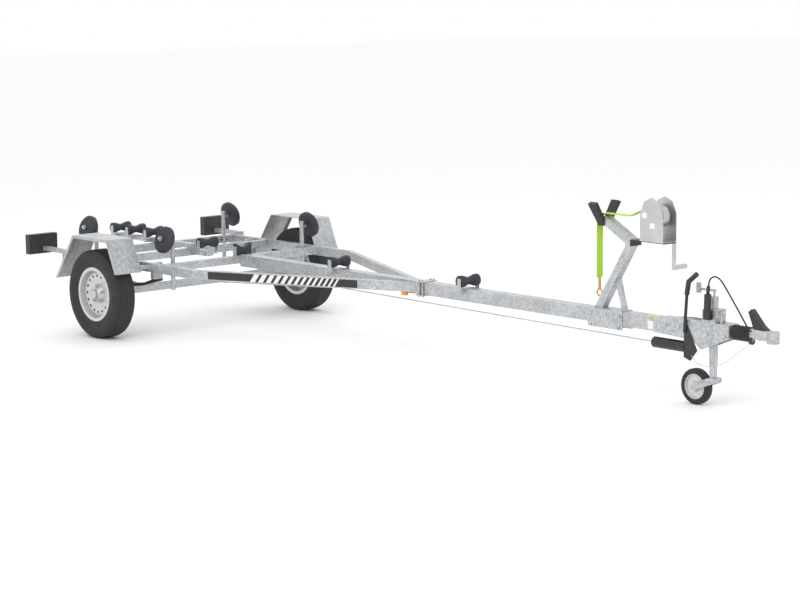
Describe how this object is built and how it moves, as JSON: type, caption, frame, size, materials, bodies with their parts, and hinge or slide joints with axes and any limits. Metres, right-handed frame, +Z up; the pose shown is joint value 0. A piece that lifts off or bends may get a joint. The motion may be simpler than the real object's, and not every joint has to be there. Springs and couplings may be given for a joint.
{
  "type": "boat trailer",
  "caption": "Galvanised single-axle boat trailer with overrun brake, keel and side rollers, winch post and jockey wheel.",
  "frame": {"origin": "on the ground, in the middle of the trailer's length and width", "axes": "+X forward to the coupling, +Y to the left, +Z up"},
  "size_m": [6.1136, 1.912, 1.1285],
  "materials": {
    "galvanised": "dull spangled zinc",
    "roller_rubber": "matt",
    "tyre": "matt",
    "wheel_paint": "silver paint",
    "black_paint": "semi-gloss",
    "black_rubber": "matt",
    "black_plastic": "moulded",
    "amber": "lens",
    "webbing": "woven polyester",
    "zinc_yellow": "yellow zinc",
    "bright_steel": "plated"
  },
  "bodies": {
    "chassis": {"drawbar": "galvanised", "side_rail_left": "galvanised", "side_rail_right": "galvanised", "cross_members": "galvanised", "axle": "galvanised", "leaf_springs": "black_paint", "mudguard_left": "galvanised", "mudguard_right": "galvanised", "light_arms": "galvanised", "light_boards": "black_plastic", "roller_posts": "galvanised", "keel_brackets": "galvanised", "roller_beams": "galvanised", "block_cradle": "galvanised", "keel_block": "roller_rubber", "winch_post": "galvanised", "winch_post_clamp": "galvanised", "winch_carrier": "black_paint", "bow_stop": "black_rubber", "winch": "bright_steel", "winch_strap": "webbing", "strap_hook": "zinc_yellow", "coupling_housing": "galvanised", "coupling_bellows": "black_rubber", "coupling_head": "galvanised", "coupling_handle": "black_paint", "handbrake_lever": "black_plastic", "brake_spring_cylinder": "black_paint", "jockey_clamp": "galvanised", "jockey_sleeve": "galvanised", "jockey_crank": "galvanised", "brake_rod": "bright_steel", "side_markers": "amber", "apex_clamp": "galvanised", "trailer_plug": "black_plastic", "trailer_cable": "black_rubber", "breakaway_cable": "bright_steel"},
    "left_wheel": {"wheel_left": "wheel_paint", "tyre_left": "tyre"},
    "right_wheel": {"wheel_right": "wheel_paint", "tyre_right": "tyre"},
    "winch_crank": {"winch_crank": "bright_steel"},
    "jockey_leg": {"jockey_leg": "galvanised"},
    "jockey_fork": {"jockey_fork": "galvanised"},
    "jockey_wheel": {"jockey_rim": "wheel_paint", "jockey_tyre": "tyre"},
    "front_roller_right": {"front_roller_right": "roller_rubber"},
    "front_roller_left": {"front_roller_left": "roller_rubber"},
    "rear_roller_right": {"rear_roller_right": "roller_rubber"},
    "rear_roller_left": {"rear_roller_left": "roller_rubber"},
    "keel_roller_front": {"keel_roller_front": "roller_rubber"},
    "keel_roller_middle": {"keel_roller_middle": "roller_rubber"},
    "keel_roller_rear": {"keel_roller_rear": "roller_rubber"},
    "tail_roller_front": {"tail_roller_front": "roller_rubber"},
    "tail_roller_middle": {"tail_roller_middle": "roller_rubber"},
    "tail_roller_rear": {"tail_roller_rear": "roller_rubber"}
  },
  "joints": [
    {"name": "left_wheel_spin", "type": "hinge", "parent": "chassis", "child": "left_wheel", "pos_m": [-2.00019, 0.8685, 0.298], "axis": [0, 1, 0], "continuous": true},
    {"name": "right_wheel_spin", "type": "hinge", "parent": "chassis", "child": "right_wheel", "pos_m": [-2.00019, -0.8685, 0.298], "axis": [0, 1, 0], "continuous": true},
    {"name": "front_roller_right_spin", "type": "hinge", "parent": "chassis", "child": "front_roller_right", "pos_m": [-1.60759, -0.619, 0.66612], "axis": [0.0047, -0.9511, 0.309], "continuous": true},
    {"name": "front_roller_left_spin", "type": "hinge", "parent": "chassis", "child": "front_roller_left", "pos_m": [-1.60759, 0.619, 0.66612], "axis": [0.0047, 0.9511, 0.309], "continuous": true},
    {"name": "rear_roller_right_spin", "type": "hinge", "parent": "chassis", "child": "rear_roller_right", "pos_m": [-2.50749, -0.619, 0.6797], "axis": [0.0047, -0.9511, 0.309], "continuous": true},
    {"name": "rear_roller_left_spin", "type": "hinge", "parent": "chassis", "child": "rear_roller_left", "pos_m": [-2.50749, 0.619, 0.6797], "axis": [0.0047, 0.9511, 0.309], "continuous": true},
    {"name": "keel_roller_front_spin", "type": "hinge", "parent": "chassis", "child": "keel_roller_front", "pos_m": [0.66958, 0, 0.52772], "axis": [0, 1, 0], "continuous": true},
    {"name": "keel_roller_middle_spin", "type": "hinge", "parent": "chassis", "child": "keel_roller_middle", "pos_m": [-0.55128, 0, 0.54615], "axis": [0, 1, 0], "continuous": true},
    {"name": "keel_roller_rear_spin", "type": "hinge", "parent": "chassis", "child": "keel_roller_rear", "pos_m": [-1.96612, 0, 0.56752], "axis": [0, 1, 0], "continuous": true},
    {"name": "tail_roller_front_spin", "type": "hinge", "parent": "chassis", "child": "tail_roller_front", "pos_m": [-2.60474, 0, 0.59716], "axis": [0, 1, 0], "continuous": true},
    {"name": "tail_roller_middle_spin", "type": "hinge", "parent": "chassis", "child": "tail_roller_middle", "pos_m": [-2.82872, 0, 0.60054], "axis": [0, 1, 0], "continuous": true},
    {"name": "tail_roller_rear_spin", "type": "hinge", "parent": "chassis", "child": "tail_roller_rear", "pos_m": [-3.0157, 0, 0.60337], "axis": [0, 1, 0], "continuous": true},
    {"name": "winch_crank_turn", "type": "hinge", "parent": "chassis", "child": "winch_crank", "pos_m": [2.26369, 0.066, 0.9207], "axis": [0, 1, 0], "continuous": true},
    {"name": "jockey_leg_slide", "type": "slide", "parent": "chassis", "child": "jockey_leg", "axis": [0.0151, 0, 0.9999], "range_m": [-0.165, 0.035]},
    {"name": "jockey_swivel", "type": "hinge", "parent": "jockey_leg", "child": "jockey_fork", "pos_m": [2.60826, 0, 0.16041], "axis": [0.0151, 0, 0.9999], "continuous": true},
    {"name": "jockey_wheel_spin", "type": "hinge", "parent": "jockey_fork", "child": "jockey_wheel", "pos_m": [2.49003, 0, 0.1], "axis": [0, 1, 0], "continuous": true}
  ]
}
